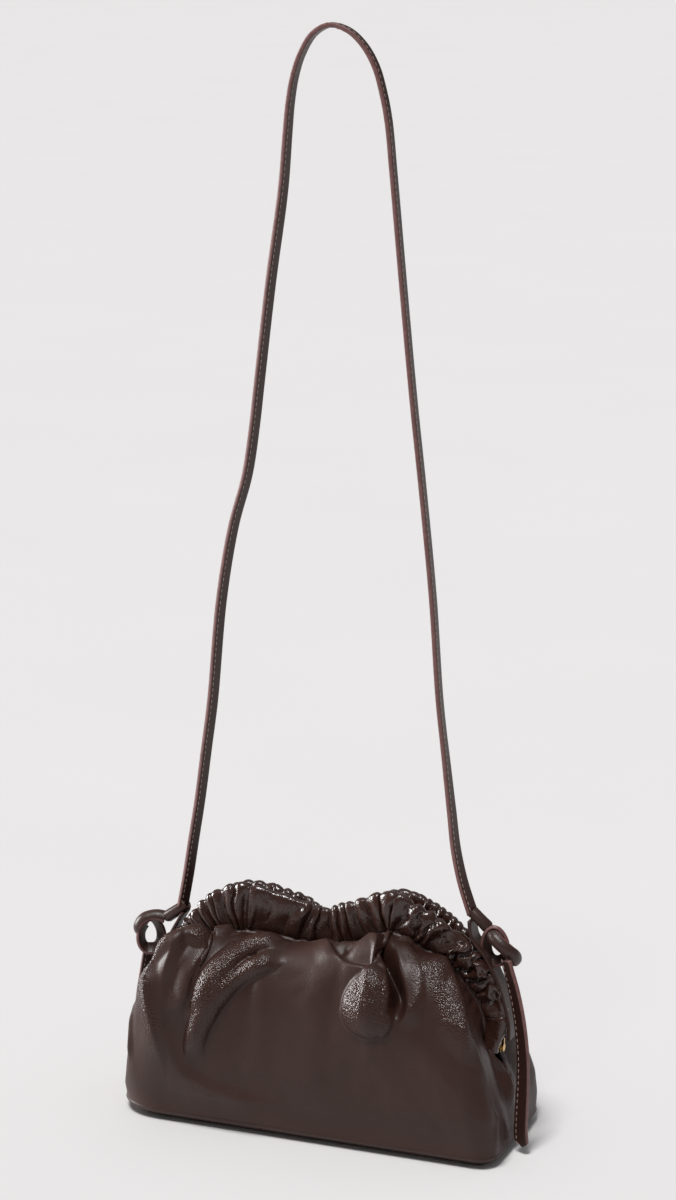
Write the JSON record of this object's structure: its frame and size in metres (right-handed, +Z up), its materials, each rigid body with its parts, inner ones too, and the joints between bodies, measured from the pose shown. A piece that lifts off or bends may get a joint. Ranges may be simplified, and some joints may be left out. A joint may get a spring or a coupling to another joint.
{
  "type": "gathered leather shoulder pouch bag",
  "caption": "Small soft leather pouch bag with ruched channels over a double-humped arched mouth and a long thin knotted shoulder strap.",
  "frame": {"origin": "middle of the strap's top, where the bag hangs from a shoulder or a peg", "axes": "+X along the bag's length towards its right end, -Y its front, +Z up"},
  "size_m": [0.296, 0.1344, 0.7227],
  "materials": {
    "body_leather": "smooth semi-gloss nappa leather, dark chocolate brown",
    "strap_leather": "smooth leather strap with painted edges, dark reddish brown",
    "hinge_brass": "polished brass"
  },
  "bodies": {
    "root": {"pouch_shell": "body_leather", "rim_front": "body_leather", "rim_back": "body_leather", "hinge_left": "hinge_brass", "hinge_right": "hinge_brass", "tab_left": "body_leather", "tab_right": "body_leather", "strap": "strap_leather", "knot_left": "strap_leather", "knot_right": "strap_leather", "tail_left": "strap_leather", "tail_right": "strap_leather"}
  },
  "joints": []
}
